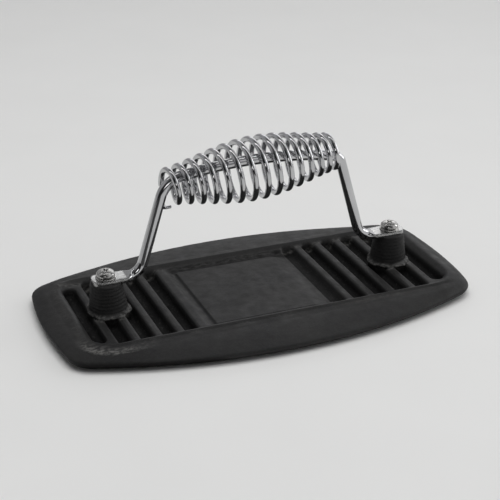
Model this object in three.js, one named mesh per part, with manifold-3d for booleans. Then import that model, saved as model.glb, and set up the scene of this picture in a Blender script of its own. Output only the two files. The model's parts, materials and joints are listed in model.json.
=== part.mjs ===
// Cast-iron bacon press with a chromed wire handle and a loose coil-spring grip.
// Millimetres, +Z up. The origin is the centre of the flat pressing face, X runs along the plate.
import * as THREE from "three";
import { mergeVertices } from "three/addons/utils/BufferGeometryUtils.js";
import Module from "manifold-3d";

// Plate outline: four shallow arcs joined by corner arcs.
const plateLength = 227;
const plateWidth = 126;
const sideArcRadius = 283;
const endArcRadius = 200;
const plateCornerRadius = 14;

// Heights above the pressing face.
const ribTop = 8;
const lipLow = 3;
const lipMiddle = 4.3;
const lipHigh = 5.6;
const slopeMiddle = 7.5;
const slopeMiddleShare = 0.5;
const shoulderOuter = 8.4;
const shoulderInner = 8.9;
const beadCrest = 9.6;
const grooveFloor = 3;
const panelTop = 7.1;
const panelBorderFloor = 6.2;
const panelRoot = 4.2;

// Ribbed field, and how far outside its edge the bead's crest and shoulder lie.
const fieldLeft = -94.5;
const fieldRight = 98.5;
const fieldHalfWidth = 33;
const fieldCornerRadius = 9;
const crestStart = 3.4;
const crestEnd = 4.4;
const shoulderStart = 5.4;
const shoulderEnd = 9.4;

// Insets of the lip's rings from the plate's outline.
const footInset = 7;
const footBevelInset = 5;
const footBevelHeight = 0.5;
const lipLowInset = 1;
const lipHighInset = 0.9;

// Cross grooves, placed by the right-hand edge of each one.
const leftPitch = 11.35;
const rightPitch = 12.1;
const leftGrooves = 5;
const rightGrooves = 6;
const lastLeftGrooveEdge = -43;
const firstRightGrooveEdge = 38.6;
const grooveShare = 0.65;
const grooveDraft = Math.tan(THREE.MathUtils.degToRad(14));
const grooveHalfLength = 34.6;
const grooveCornerRadius = 2.4;
const endGrooveHalfLength = 30.5;
const endGrooveCornerRadius = 3.5;
const shallowGrooveFloor = 4.6;
const recessCornerRadius = 1.5;
const panelCornerRadius = 1;
const panelLeft = -33;
const panelRight = 23;
const panelFarMargin = 4;
const panelNearOverlap = 0.5;
const recessLeft = -38.4;
const recessRight = 31;

// Bosses, screws and washers.
const screwSpacing = 160;
const bossTop = 25.2;
const bossTopRadius = 7.9;
const bossWallRadius = 9.7;
const collarRadius = 11.1;
const bossSides = 32;
const collarHeight = 9.2;
const collarBlend = 1.4;
const bossRoot = 1.5;
const bossChamfer = 0.6;
const leftBossLean = -0.06;
const screwHoleRadius = 2.8;
const screwHoleBottom = 11;
const eyeThickness = 1.6;
const washerThickness = 0.8;
const washerRadius = 5.2;
const washerHoleRadius = 2.8;
const screwRadius = 2.4;
const screwBottom = 13;
const screwPointChamfer = 0.7;
const screwHeadRadius = 4.75;
const screwHeadHeight = 3.4;
const screwHeadSide = 1;
const screwDomeShares = [0.25, 0.5, 0.75];
const screwDomePower = 0.62;
const roundSides = 24;
const recessDepth = 1.8;
const recessLength = 4.6;
const recessWidth = 1;
const cutOverrun = 1;

// Wire handle, symmetrical about X = 0 except for the stop ear.
const rodRadius = 2.75;
const rodSides = 14;
const eyeTipX = 87.2;
const eyeNeckX = 65.4;
const eyeInnerX = 69.4;
const eyeRings = 8;
const lowerBendSteps = 8;
const upperBendSteps = 7;
const archSteps = 5;
const kneePasses = 20;
const eyeHoleRadius = 2.8;
const eyeCornerPower = 0.35;
const flatteningStartX = 64.9;
const flatteningEndX = 69;
// The flattened eye's half width, as [distance from the middle of the press, half width].
const eyeOutline = [
  [eyeNeckX, rodRadius],
  [68.5, 4.3],
  [71, 5.2],
  [76, 5.6],
  [80, 5.8],
  [84, 5.2],
  [eyeTipX, 3.4],
];
const legFootX = 67.3;
const legLean = 0.297;
const lowerBendRadius = 9;
const leftUpperBendRadius = 14;
const rightUpperBendRadius = 6.5;
const archTop = 78.6;
const archRadius = 240;
const earThickness = 2.4;
const earRootX = -52;
const earTopX = -48.9;
const earTipX = -44.8;
const earTopZ = 65;
const earBottomZ = 59.8;
const earTipHeight = 0.8;
const earFilletLength = 1.3;
const earFilletSteps = 6;
const earFilletPower = 2.2;

// Coil-spring grip: a barrel of wire round a straight, slightly tilted axis.
const wireRadius = 1.5;
const gripStart = -47.3;
const gripEnd = 43.7;
const gripTurns = 14.8;
const gripSpread = 0.032;
const gripOpens = [0.2, 0.68];
const gripCloses = [0.86, 1];
const gripFirstTurnAngle = -0.3;
const gripEndRadius = 8.3;
const gripBulge = 6.8;
const gripBulgePower = 1.5;
const gripBulgeHalfLength = 47;
const gripAxisHeight = 74;
const gripAxisSlope = 0.0676;
const gripStepsPerTurn = 16;
const wireSides = 8;

const screwPlaces = [-screwSpacing / 2, screwSpacing / 2];

const wasm = await Module();
wasm.setup();

const castIron = { color: 0x1b1b1b, roughness: 0.55, metalness: 0.6 };
const chrome = { color: 0xd8d9dc, roughness: 0.12, metalness: 1 };
const zincSteel = { color: 0xc4c6c9, roughness: 0.3, metalness: 1 };

// ---- solids and meshes ----

function toSolid(geometry) {
  const bare = geometry.clone();
  bare.deleteAttribute("normal");
  bare.deleteAttribute("uv");
  const merged = mergeVertices(bare, 1e-4);
  const vertProperties = new Float32Array(merged.attributes.position.array);
  const triVerts = new Uint32Array(merged.index.array);
  return new wasm.Manifold(new wasm.Mesh({ numProp: 3, vertProperties, triVerts }));
}

function toGeometry(solid) {
  const mesh = solid.getMesh();
  const geometry = new THREE.BufferGeometry();
  geometry.setAttribute("position", new THREE.BufferAttribute(mesh.vertProperties, 3));
  geometry.setIndex(new THREE.BufferAttribute(mesh.triVerts, 1));
  geometry.computeVertexNormals();
  return geometry;
}

function named(name, geometry, finish) {
  const mesh = new THREE.Mesh(geometry, new THREE.MeshStandardMaterial(finish));
  mesh.name = name;
  return mesh;
}

// Closed body through convex rings of equal point counts, first ring to last, each end capped by a fan.
// Each ring is an array of Vector3 that runs anticlockwise seen from the last ring's side.
function loft(rings) {
  const count = rings[0].length;
  const centre = (ring) =>
    ring.reduce((sum, point) => sum.add(point), new THREE.Vector3()).divideScalar(count);
  const startCentre = rings.length * count;
  const endCentre = startCentre + 1;
  const endRing = (rings.length - 1) * count;
  const points = [...rings.flat(), centre(rings[0]), centre(rings[rings.length - 1])];
  const index = [];
  for (let side = 0; side < count; side += 1) {
    const next = (side + 1) % count;
    for (let ring = 0; ring + 1 < rings.length; ring += 1) {
      const low = ring * count;
      const high = low + count;
      index.push(low + side, low + next, high + next);
      index.push(low + side, high + next, high + side);
    }
    index.push(startCentre, next, side);
    index.push(endCentre, endRing + side, endRing + next);
  }
  const positions = points.flatMap((point) => point.toArray());
  const geometry = new THREE.BufferGeometry();
  geometry.setAttribute("position", new THREE.Float32BufferAttribute(positions, 3));
  geometry.setIndex(index);
  return geometry;
}

function arcPoints(centreX, centreY, radius, from, to, steps) {
  return Array.from({ length: steps }, (_, step) => {
    const angle = from + ((to - from) * step) / steps;
    return [centreX + radius * Math.cos(angle), centreY + radius * Math.sin(angle)];
  });
}

// Mirrors one quadrant, which runs from the +X axis to just short of the +Y axis, into a closed ring.
function mirroredRing(quadrant, topPoint, z, shift = 0) {
  const left = quadrant.slice(1).reverse().map(([x, y]) => [-x, y]);
  const upper = [...quadrant, topPoint, ...left, [-quadrant[0][0], quadrant[0][1]]];
  const lower = upper.slice(1, -1).reverse().map(([x, y]) => [x, -y]);
  return [...upper, ...lower].map(([x, y]) => new THREE.Vector3(x + shift, y, z));
}

// ---- plate ----

const endSteps = 5;
const cornerSteps = 6;
const sideSteps = 10;
const pocketCornerSteps = 4;

function plateRing(inset, z) {
  const halfLength = plateLength / 2;
  const halfWidth = plateWidth / 2;
  const sideCentre = new THREE.Vector2(0, halfWidth - sideArcRadius);
  const endCentre = new THREE.Vector2(halfLength - endArcRadius, 0);
  const toSide = sideArcRadius - plateCornerRadius;
  const toEnd = endArcRadius - plateCornerRadius;
  const between = endCentre.clone().sub(sideCentre);
  const distance = between.length();
  const along = (toSide ** 2 - toEnd ** 2 + distance ** 2) / (2 * distance);
  const across = Math.sqrt(toSide ** 2 - along ** 2);
  const unit = between.divideScalar(distance);
  const cornerX = sideCentre.x + along * unit.x + across * unit.y;
  const cornerY = sideCentre.y + along * unit.y - across * unit.x;
  const endAngle = Math.atan2(cornerY - endCentre.y, cornerX - endCentre.x);
  const sideAngle = Math.atan2(cornerY - sideCentre.y, cornerX - sideCentre.x);
  const quadrant = [
    ...arcPoints(endCentre.x, endCentre.y, endArcRadius - inset, 0, endAngle, endSteps),
    ...arcPoints(cornerX, cornerY, plateCornerRadius - inset, endAngle, sideAngle, cornerSteps),
    ...arcPoints(0, sideCentre.y, sideArcRadius - inset, sideAngle, Math.PI / 2, sideSteps),
  ];
  return mirroredRing(quadrant, [0, halfWidth - inset], z);
}

function fieldRing(grow, z) {
  const halfLength = (fieldRight - fieldLeft) / 2 + grow;
  const halfWidth = fieldHalfWidth + grow;
  const radius = fieldCornerRadius + grow;
  const straight = (x0, y0, x1, y1, steps) =>
    Array.from({ length: steps }, (_, step) => [
      x0 + ((x1 - x0) * step) / steps,
      y0 + ((y1 - y0) * step) / steps,
    ]);
  const cornerX = halfLength - radius;
  const cornerY = halfWidth - radius;
  const quadrant = [
    ...straight(halfLength, 0, halfLength, cornerY, endSteps),
    ...arcPoints(cornerX, cornerY, radius, 0, Math.PI / 2, cornerSteps),
    ...straight(cornerX, halfWidth, 0, halfWidth, sideSteps),
  ];
  return mirroredRing(quadrant, [0, halfWidth], z, (fieldLeft + fieldRight) / 2);
}

function blendRings(first, second, share, z) {
  return first.map((point, i) => point.clone().lerp(second[i], share).setZ(z));
}

function plateBlank() {
  const lip = plateRing(lipHighInset, lipHigh);
  const shoulder = fieldRing(shoulderEnd, shoulderOuter);
  const rings = [
    plateRing(footInset, 0),
    plateRing(footBevelInset, footBevelHeight),
    plateRing(lipLowInset, lipLow),
    plateRing(0, lipMiddle),
    lip,
    blendRings(lip, shoulder, slopeMiddleShare, slopeMiddle),
    shoulder,
    fieldRing(shoulderStart, shoulderInner),
    fieldRing(crestEnd, beadCrest),
    fieldRing(crestStart, beadCrest),
    fieldRing(0, ribTop),
  ];
  return toSolid(loft(rings));
}

function roundedRectangleRing(left, right, near, far, radius, z) {
  const quarter = Math.PI / 2;
  const corners = [
    [right - radius, far - radius, 0],
    [left + radius, far - radius, 1],
    [left + radius, near + radius, 2],
    [right - radius, near + radius, 3],
  ];
  return corners.flatMap(([x, y, turn]) =>
    Array.from({ length: pocketCornerSteps + 1 }, (_, step) => {
      const angle = quarter * (turn + step / pocketCornerSteps);
      return new THREE.Vector3(x + radius * Math.cos(angle), y + radius * Math.sin(angle), z);
    }),
  );
}

// Pocket with drafted walls. Its sizes are those at the rib tops.
function pocket(left, right, halfLength, radius, floor) {
  const ring = (z) => {
    const spread = (z - ribTop) * grooveDraft;
    return roundedRectangleRing(
      left - spread,
      right + spread,
      -halfLength - spread,
      halfLength + spread,
      radius + spread,
      z,
    );
  };
  return toSolid(loft([ring(floor), ring(beadCrest + cutOverrun)]));
}

// One groove. The end groove of each side is shorter, with rounder corners.
function groove(right, pitch, atEnd, floor) {
  const halfLength = atEnd ? endGrooveHalfLength : grooveHalfLength;
  const radius = atEnd ? endGrooveCornerRadius : grooveCornerRadius;
  return pocket(right - pitch * grooveShare, right, halfLength, radius, floor);
}

function grooves() {
  const cuts = [];
  for (let i = 0; i < leftGrooves; i += 1) {
    const right = lastLeftGrooveEdge - i * leftPitch;
    cuts.push(groove(right, leftPitch, i === leftGrooves - 1, grooveFloor));
  }
  for (let i = 0; i < rightGrooves; i += 1) {
    const right = firstRightGrooveEdge + i * rightPitch;
    const floor = i === 0 ? shallowGrooveFloor : grooveFloor;
    cuts.push(groove(right, rightPitch, i === rightGrooves - 1, floor));
  }
  return cuts;
}

function cylinderSolid(radius, bottom, top, x) {
  const cylinder = new THREE.CylinderGeometry(radius, radius, top - bottom, roundSides);
  cylinder.rotateX(Math.PI / 2);
  cylinder.translate(x, 0, (bottom + top) / 2);
  return toSolid(cylinder);
}

// Drafted round boss on a collar. It leans by the given rise of X for each unit of height, about its top.
function boss(x, lean) {
  const profile = [
    [0, bossRoot],
    [collarRadius, bossRoot],
    [collarRadius, collarHeight],
    [bossWallRadius, collarHeight + collarBlend],
    [bossTopRadius, bossTop - bossChamfer],
    [bossTopRadius - bossChamfer, bossTop],
    [0, bossTop],
  ].map(([radius, z]) => new THREE.Vector2(radius, z));
  const turned = new THREE.LatheGeometry(profile, bossSides);
  turned.rotateX(Math.PI / 2);
  turned.translate(0, 0, -bossTop);
  turned.applyMatrix4(new THREE.Matrix4().makeShear(0, 0, 0, 0, lean, 0));
  turned.translate(x, 0, bossTop);
  return toSolid(turned);
}

// Smooth blank panel, standing slightly proud of its sunken border.
function blankPanel() {
  const near = -fieldHalfWidth - panelNearOverlap;
  const far = fieldHalfWidth - panelFarMargin;
  const ring = (z) => roundedRectangleRing(panelLeft, panelRight, near, far, panelCornerRadius, z);
  return toSolid(loft([ring(panelRoot), ring(panelTop)]));
}

function pressPlate() {
  let solid = plateBlank();
  solid = solid.subtract(
    pocket(recessLeft, recessRight, fieldHalfWidth, recessCornerRadius, panelBorderFloor),
  );
  solid = solid.add(blankPanel());
  grooves().forEach((cut) => {
    solid = solid.subtract(cut);
  });
  screwPlaces.forEach((x) => {
    solid = solid.add(boss(x, x < 0 ? leftBossLean : 0));
    solid = solid.subtract(cylinderSolid(screwHoleRadius, screwHoleBottom, bossTop + cutOverrun, x));
  });
  return named("press_plate", toGeometry(solid), castIron);
}

// ---- handle ----

const eyeMiddle = bossTop + eyeThickness / 2;
const legAngle = Math.atan2(1, legLean);

// Half the centre line, from the eye's tip to the top of the arch, as [x, z, direction].
// X counts outwards from the middle, and direction is the tangent's angle in the XZ plane.
// The two knees differ in radius, as bends made by hand in a jig do.
function halfCentreLine(upperBendRadius) {
  const legX = (z) => legFootX - legLean * (z - ribTop);
  const footX = legX(eyeMiddle);
  const footSetback = lowerBendRadius * Math.tan(legAngle / 2);
  const bendStartX = footX + footSetback;
  const bendCentreZ = eyeMiddle + lowerBendRadius;
  const line = [];
  for (let step = 0; step <= eyeRings; step += 1) {
    line.push([THREE.MathUtils.lerp(eyeTipX, eyeInnerX, step / eyeRings), eyeMiddle, 0]);
  }
  for (let step = 0; step <= lowerBendSteps; step += 1) {
    const angle = (legAngle * step) / lowerBendSteps;
    line.push([
      bendStartX - lowerBendRadius * Math.sin(angle),
      bendCentreZ - lowerBendRadius * Math.cos(angle),
      angle,
    ]);
  }
  const archCentreZ = archTop - archRadius;
  const archZ = (x) => archCentreZ + Math.sqrt(archRadius ** 2 - x ** 2);
  let kneeX = gripEnd;
  for (let pass = 0; pass < kneePasses; pass += 1) {
    kneeX = legX(archZ(kneeX));
  }
  const kneeZ = archZ(kneeX);
  const archAngle = Math.asin(kneeX / archRadius);
  const kneeTurn = legAngle - archAngle;
  const setback = upperBendRadius * Math.tan(kneeTurn / 2);
  const kneeStartX = kneeX + setback * Math.cos(legAngle);
  const kneeStartZ = kneeZ - setback * Math.sin(legAngle);
  const kneeCentreX = kneeStartX - upperBendRadius * Math.sin(legAngle);
  const kneeCentreZ = kneeStartZ - upperBendRadius * Math.cos(legAngle);
  for (let step = 0; step <= upperBendSteps; step += 1) {
    const angle = legAngle - (kneeTurn * step) / upperBendSteps;
    line.push([
      kneeCentreX + upperBendRadius * Math.sin(angle),
      kneeCentreZ + upperBendRadius * Math.cos(angle),
      angle,
    ]);
  }
  const archStart = archAngle - setback / archRadius;
  for (let step = 1; step <= archSteps; step += 1) {
    const angle = archStart * (1 - step / archSteps);
    line.push([archRadius * Math.sin(angle), archCentreZ + archRadius * Math.cos(angle), angle]);
  }
  return line;
}

function eyeHalfWidth(x) {
  if (x <= eyeNeckX) {
    return rodRadius;
  }
  const next = eyeOutline.findIndex(([station]) => x <= station);
  const [x0, w0] = eyeOutline[next - 1];
  const [x1, w1] = eyeOutline[next];
  return THREE.MathUtils.mapLinear(x, x0, x1, w0, w1);
}

// A section of the rod, round on the legs and arch and flattened with square edges at the eye.
function handleRing(x, z, direction, side) {
  const halfWidth = eyeHalfWidth(x);
  const round = 1 - THREE.MathUtils.smoothstep(x, flatteningStartX, flatteningEndX);
  const halfThickness = THREE.MathUtils.lerp(eyeThickness / 2, rodRadius, round);
  const power = THREE.MathUtils.lerp(eyeCornerPower, 1, round);
  const shaped = (value) => Math.sign(value) * Math.abs(value) ** power;
  return Array.from({ length: rodSides }, (_, i) => {
    const angle = (2 * Math.PI * i) / rodSides;
    const across = halfWidth * shaped(Math.cos(angle));
    const outward = halfThickness * shaped(Math.sin(angle));
    const pointX = x + outward * Math.sin(direction);
    const pointZ = z + outward * Math.cos(direction);
    return new THREE.Vector3(side * pointX, across, pointZ);
  });
}

function handleRod() {
  const leftLine = halfCentreLine(leftUpperBendRadius);
  const rightLine = halfCentreLine(rightUpperBendRadius).slice(0, -1).reverse();
  const left = leftLine.map(([x, z, direction]) => handleRing(x, z, direction, -1));
  const right = rightLine.map(([x, z, direction]) => handleRing(x, z, direction, 1));
  const rings = [...left, ...right];
  let solid = toSolid(loft(rings));
  screwPlaces.forEach((x) => {
    const holeTop = bossTop + eyeThickness + cutOverrun;
    solid = solid.subtract(cylinderSolid(eyeHoleRadius, bossTop - cutOverrun, holeTop, x));
  });
  return named("handle_rod", toGeometry(solid.add(stopEar())), chrome);
}

// Small pinched ear that points inwards from the left leg and keeps the grip from sliding down.
function stopEar() {
  const outline = new THREE.Shape();
  outline.moveTo(earRootX, earTopZ);
  const tongueZ = earBottomZ + earTipHeight;
  for (let i = 0; i <= earFilletSteps; i += 1) {
    const share = i / earFilletSteps;
    const z = tongueZ + (earTopZ - tongueZ) * (1 - share) ** earFilletPower;
    outline.lineTo(earTopX + earFilletLength * share, z);
  }
  outline.lineTo(earTipX, tongueZ);
  outline.lineTo(earTipX, earBottomZ);
  outline.lineTo(earRootX, earBottomZ);
  outline.closePath();
  const plate = new THREE.ExtrudeGeometry(outline, { depth: earThickness, bevelEnabled: false });
  plate.translate(0, 0, -earThickness / 2);
  plate.rotateX(Math.PI / 2);
  return toSolid(plate);
}

// ---- grip ----

// The grip's axis passes through (0, 0, gripAxisHeight), tilted by gripAxisSlope in the XZ plane.
// Its turns lie wider apart where the barrel swells, and closer together at the right-hand end.
function gripSpring() {
  const steps = Math.round(gripTurns * gripStepsPerTurn);
  const centre = (share) => {
    const opened = THREE.MathUtils.smoothstep(share, ...gripOpens);
    const closed = THREE.MathUtils.smoothstep(share, ...gripCloses);
    const along = gripStart + (gripEnd - gripStart) * (share + gripSpread * opened * (1 - closed));
    const angle = 2 * Math.PI * (gripFirstTurnAngle + gripTurns * share);
    const swell = Math.max(Math.cos((Math.PI * along) / (2 * gripBulgeHalfLength)), 0);
    const radius = gripEndRadius + gripBulge * swell ** gripBulgePower;
    return new THREE.Vector3(along, -radius * Math.sin(angle), radius * Math.cos(angle));
  };
  const rings = [];
  for (let step = 0; step <= steps; step += 1) {
    const share = step / steps;
    const middle = centre(share);
    const tangent = centre(share + 1e-4).sub(centre(share - 1e-4)).normalize();
    const outward = new THREE.Vector3(0, middle.y, middle.z).normalize();
    const sideways = new THREE.Vector3().crossVectors(tangent, outward).normalize();
    const up = new THREE.Vector3().crossVectors(sideways, tangent);
    const ring = Array.from({ length: wireSides }, (_, side) => {
      const angle = (2 * Math.PI * side) / wireSides;
      const offset = up.clone().multiplyScalar(wireRadius * Math.cos(angle));
      offset.addScaledVector(sideways, wireRadius * Math.sin(angle));
      return middle.clone().add(offset);
    });
    rings.push(ring);
  }
  const spring = named("grip_spring", loft(rings), chrome);
  const holder = new THREE.Group();
  holder.position.z = gripAxisHeight;
  holder.rotation.y = -Math.atan(gripAxisSlope);
  holder.add(spring);
  return holder;
}

// ---- fasteners ----

function washer(name, x) {
  const bottom = bossTop + eyeThickness;
  const top = bottom + washerThickness;
  const disc = cylinderSolid(washerRadius, bottom, top, x);
  const hole = cylinderSolid(washerHoleRadius, bottom - cutOverrun, top + cutOverrun, x);
  return named(name, toGeometry(disc.subtract(hole)), zincSteel);
}

function screw(name, x) {
  const headBottom = bossTop + eyeThickness + washerThickness;
  const headTop = headBottom + screwHeadHeight;
  const dome = screwDomeShares.map((share) => [
    screwHeadRadius * Math.cos((share * Math.PI) / 2) ** screwDomePower,
    headBottom + screwHeadSide + (screwHeadHeight - screwHeadSide) * Math.sin((share * Math.PI) / 2),
  ]);
  const profile = [
    [0, screwBottom],
    [screwRadius - screwPointChamfer, screwBottom],
    [screwRadius, screwBottom + screwPointChamfer],
    [screwRadius, headBottom],
    [screwHeadRadius, headBottom],
    [screwHeadRadius, headBottom + screwHeadSide],
    ...dome,
    [0, headTop],
  ].map(([radius, z]) => new THREE.Vector2(radius, z));
  const turned = new THREE.LatheGeometry(profile, roundSides);
  turned.rotateX(Math.PI / 2);
  turned.translate(x, 0, 0);
  let solid = toSolid(turned);
  [0, Math.PI / 2].forEach((turn) => {
    const slot = new THREE.BoxGeometry(recessLength, recessWidth, recessDepth + cutOverrun);
    slot.rotateZ(turn);
    slot.translate(x, 0, headTop + (cutOverrun - recessDepth) / 2);
    solid = solid.subtract(toSolid(slot));
  });
  return named(name, toGeometry(solid), zincSteel);
}

const group = new THREE.Group();
group.add(pressPlate());
group.add(handleRod());
group.add(gripSpring());
["left", "right"].forEach((side, i) => {
  group.add(washer(`washer_${side}`, screwPlaces[i]));
  group.add(screw(`screw_${side}`, screwPlaces[i]));
});

export default group;
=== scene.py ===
import json
import math

import bpy
import numpy as np
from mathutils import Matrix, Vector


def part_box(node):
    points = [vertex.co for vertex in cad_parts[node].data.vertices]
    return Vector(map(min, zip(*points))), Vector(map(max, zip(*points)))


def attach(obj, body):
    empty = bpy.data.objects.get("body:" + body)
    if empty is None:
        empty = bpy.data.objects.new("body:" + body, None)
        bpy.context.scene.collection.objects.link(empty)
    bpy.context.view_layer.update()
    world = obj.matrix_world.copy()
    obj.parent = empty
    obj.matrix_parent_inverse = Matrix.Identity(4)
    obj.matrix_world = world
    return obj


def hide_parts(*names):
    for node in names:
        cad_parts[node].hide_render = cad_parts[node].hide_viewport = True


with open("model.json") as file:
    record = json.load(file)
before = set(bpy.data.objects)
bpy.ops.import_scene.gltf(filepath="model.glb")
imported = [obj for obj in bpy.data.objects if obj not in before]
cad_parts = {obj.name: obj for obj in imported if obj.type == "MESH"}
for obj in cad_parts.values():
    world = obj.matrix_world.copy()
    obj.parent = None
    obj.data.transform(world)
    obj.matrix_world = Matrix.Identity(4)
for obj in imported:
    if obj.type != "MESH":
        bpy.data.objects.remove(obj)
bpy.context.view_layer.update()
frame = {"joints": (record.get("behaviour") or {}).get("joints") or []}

import openvdb
from mathutils import Matrix, Quaternion, Vector, noise

MM = 0.001


def box_mm(node):
    """The low and high corners of a CAD node's box, in millimetres."""
    low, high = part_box(node)
    return np.array(low) / MM, np.array(high) / MM


PLATE_LOW, PLATE_HIGH = box_mm("press_plate")
ROD_LOW, ROD_HIGH = box_mm("handle_rod")
SCREW_X = [float(sum(box_mm(node))[0]) / 2 for node in ("screw_left", "screw_right")]
WASHER_LOW, WASHER_HIGH = box_mm("washer_left")
SCREW_LOW, SCREW_HIGH = box_mm("screw_left")

# Plate outline.
HALF_LENGTH = float(PLATE_HIGH[0])
HALF_WIDTH = float(PLATE_HIGH[1])
SIDE_ARC = 283.0
END_ARC = 200.0
CORNER_ARC = 14.0

# Heights above the pressing face.
RIB_TOP = 8.0
LIP_EDGE = 4.3
LIP_TOP = 5.5
SHOULDER_OUTER = 8.4
SHOULDER_INNER = 8.9
BEAD_CREST = 9.6
GROOVE_FLOOR = 3.0
SHALLOW_FLOOR = 4.6
PANEL_TOP = 7.1
PANEL_BORDER = 6.2
PANEL_RIGHT_EDGE = 5.0
BOSS_TOP = float(PLATE_HIGH[2])

# Ribbed field, and how far outside its edge the bead's foot, crest and shoulder lie. At the
# field's two ends the shoulder is broader.
FIELD_MIDDLE = 2.0
FIELD_HALF_LENGTH = 96.5
FIELD_HALF_WIDTH = 33.0
FIELD_CORNER = 9.0
BEAD_FOOT = 0.3
CREST_START = 4.2
CREST_END = 4.4
SHOULDER_START = 5.4
SHOULDER_END = 9.4
SHOULDER_CURVE = 1.5
END_SHOULDER_EXTRA = 4.0
END_ZONE = (FIELD_HALF_LENGTH - 6, FIELD_HALF_LENGTH + 3)

# The rim's slope from shoulder to lip, and how far in from the outline the underside starts to
# rise towards the lip.
SLOPE_CURVE = 1.5
UNDERCUT = 7.0
UNDERCUT_CURVE = 2.2

# Rough near left corner of the bead: where it starts and ends along the plate, how far towards
# the near side it starts, and its raised edge's distance outside the field, width and height.
CORNER_FADE_IN = (-106, -98)
CORNER_FADE_OUT = (-90, -66)
CORNER_NEAR = (22, 30)
CORNER_EDGE = 10.4
CORNER_EDGE_WIDTH = 1.3
CORNER_EDGE_HEIGHT = 0.55

# Grooves as (right-hand edge of the first, pitch, count), counted outwards from the panel.
LEFT_GROOVES = (-43.0, -11.35, 5)
RIGHT_GROOVES = (38.6, 12.1, 6)
GROOVE_SHARE = 0.65
GROOVE_HALF_LENGTH = 34.6
GROOVE_CORNER = 2.4
END_GROOVE_HALF_LENGTH = 30.5
END_GROOVE_CORNER = 3.4
GROOVE_DRAFT = math.tan(math.radians(14))

# Recess and the blank panel in it, along the plate. Each edge is a slope between two places.
RECESS = (-38.4, 31.0)
PANEL = (-33.0, 23.0)
RECESS_LEFT_EDGE = (RECESS[0] - 0.6, PANEL[0] - 0.9)
RECESS_RIGHT_EDGE = (RECESS[1] + 1.5, RECESS[1] + 3.0)
RECESS_SIDE_EDGE = (-0.3, 0.4)
PANEL_EDGE = (-0.5, 0.3)
PANEL_FALL = (PANEL[1] - 2, RECESS[1] + 1.5)
PANEL_NEAR_MARGIN = 0.9
PANEL_FAR_MARGIN = 4.0

# Ridge of flash at the panel's far side. Its waves are (height, frequency, phase), and have no
# meaning beyond looking uneven.
FLASH_Y = 32.3
FLASH_WIDTH = 0.6
FLASH_HEIGHT = 1.4
FLASH_WANDER = ((0.25, 0.5, 0), (0.2, 0.83, 2))
FLASH_MEAN = 0.65
FLASH_LUMPS = ((0.25, 0.37, 1), (0.2, 1.1, 0))

# Bosses.
BOSS_TOP_RADIUS = 7.9
BOSS_WALL_RADIUS = 9.7
WALL_FOOT = 10.6
COLLAR_RADIUS = 11.1
COLLAR_HEIGHT = 8.7
COLLAR_THICKNESS = 0.9
BOSS_ROOT = 1.5
BOSS_EDGE = 1.0
BOSS_LEAN = (-0.06, 0.0)
BOSS_REACH = 18
RIPPLE_DEPTH = 0.1
RIPPLE_ZONE = (9.5, 12.0)
HOLE_RADIUS = 2.8
HOLE_BOTTOM = 11.0

# Widths over which the casting's faces run into one another.
LIP_FILLET = 1.6
OUTLINE_FILLET = 1.2
FLOOR_FILLET = 2.4
RIB_FILLET = 1.1
BOSS_FILLET = 0.9
HOLE_FILLET = 0.4

# The distance field's grid, and the share of its faces that is kept.
CELL = 0.5
GRID_MARGIN = 2
GRID_MARGIN_UP = 1.5
FAR_AWAY = 50.0
KEPT_SHARE = 0.36

# Where the rough places of the casting fade out, and how wide they are.
BAND_FADE = (SHOULDER_END - 3, SHOULDER_END)
CORNER_INNER_FADE = (SHOULDER_START, CORNER_EDGE - 1)
CORNER_OUTER_FADE = (CORNER_EDGE + 0.4, CORNER_EDGE + 1.6)
COLLAR_ROUGH_WIDTH = 1.6
COLLAR_ROUGH_HEIGHT = 1.8
FLASH_ROUGH_MIDDLE = 0.6
FLASH_ROUGH_WIDTH = 1.3

# How rough and how worn each rough place is, and the depths of unevenness and of roughness.
BAND_ROUGH, CORNER_ROUGH, COLLAR_ROUGH, FLASH_ROUGH = 0.3, 0.6, 2.2, 1.1
BAND_WORN, CORNER_WORN, COLLAR_WORN, FLASH_WORN = 0.15, 0.8, 0.5, 0.35
FLASH_ON_PANEL = 0.35
UNEVEN_DEPTH = 0.05
ROUGH_DEPTH = 0.22
SMOOTH_BELOW = (0.1, 1.2)

# Noise as (share, size of its features, seed), and the noise levels where rough patches start
# and are full.
PATCH_NOISE = ((1, 14, 1),)
PATCH_EDGE = (-0.1, 0.35)
UNEVEN_NOISE = ((1, 4.5, 2), (0.5, 1.8, 3))
FINE_NOISE = ((1, 2.4, 4), (0.4, 1.6, 6))

# The depths below the rib tops, and the distances outside the field, over which the painted shade of
# the grooves comes and goes. The recess has none.
SUNK_DEPTHS = (0.4, 3.4)
SUNK_FADE = (2, 5)
SUNK_MARGIN = 1

# Handle rod. The legs are straight between a lower and an upper bend.
ROD_RADIUS = 2.75
ARCH_TOP = float(ROD_HIGH[2]) - ROD_RADIUS
ARCH_RADIUS = 240.0
LEG_FOOT = 67.3
LEG_LEAN = 0.297
LOWER_BEND = 9.0
LEFT_UPPER_BEND = 14.0
RIGHT_UPPER_BEND = 6.5
KNEE_GUESS = 47.0
KNEE_ROUNDS = 20
ROD_SIDES = 48

# Sections along each part of half the rod.
EYE_SECTIONS = 48
LOWER_BEND_SECTIONS = 28
LEG_SECTIONS = 14
UPPER_BEND_SECTIONS = 24
ARCH_SECTIONS = 26

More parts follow.
